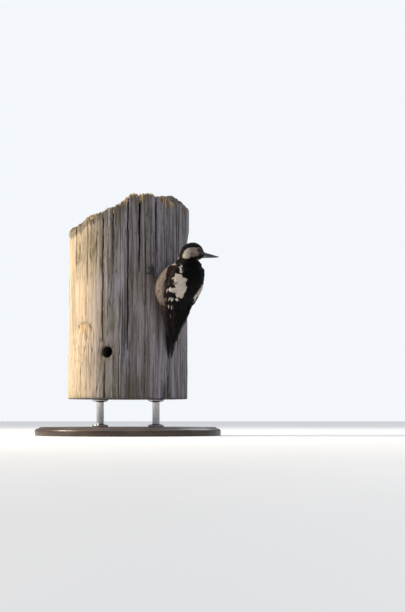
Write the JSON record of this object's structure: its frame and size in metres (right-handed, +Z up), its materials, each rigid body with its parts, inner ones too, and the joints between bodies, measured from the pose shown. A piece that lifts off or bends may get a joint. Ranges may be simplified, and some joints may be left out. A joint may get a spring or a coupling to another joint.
{
  "type": "display woodpecker on a perch",
  "caption": "Life-size still model of a female Syrian woodpecker clinging to a cut length of weathered pole, held on a round display stand.",
  "frame": {"origin": "on the pole's axis, on the underside of the stand's base, where it rests on the floor", "axes": "+Z up along the pole; +X to the side the bill points to; -Y is the side the bird is seen from"},
  "size_m": [0.306, 0.306, 0.4033],
  "materials": {
    "plumage": "soft feathers, black with white and buff markings",
    "bill_horn": "dark slate horn, satin",
    "eye": "wet gloss, dark red-brown",
    "leg_skin": "scaled grey skin",
    "claw_horn": "dark horn, satin",
    "pole_wood": "weathered silver-grey, cracked along the grain",
    "stand_wood": "dark stained, satin",
    "stand_metal": "brushed"
  },
  "bodies": {
    "root": {"trunk": "plumage", "neck": "plumage", "head": "plumage", "bill_upper": "bill_horn", "bill_lower": "bill_horn", "eye_left": "eye", "eye_right": "eye", "wing_left": "plumage", "wing_right": "plumage", "tail": "plumage", "thigh_left": "plumage", "thigh_right": "plumage", "foot_left": "leg_skin", "foot_right": "leg_skin", "claw_left_1": "claw_horn", "claw_left_2": "claw_horn", "claw_left_3": "claw_horn", "claw_left_4": "claw_horn", "claw_right_1": "claw_horn", "claw_right_2": "claw_horn", "claw_right_3": "claw_horn", "claw_right_4": "claw_horn", "perch_pole": "pole_wood", "stand_base": "stand_wood", "stand_rod_left": "stand_metal", "stand_rod_right": "stand_metal"}
  },
  "joints": []
}
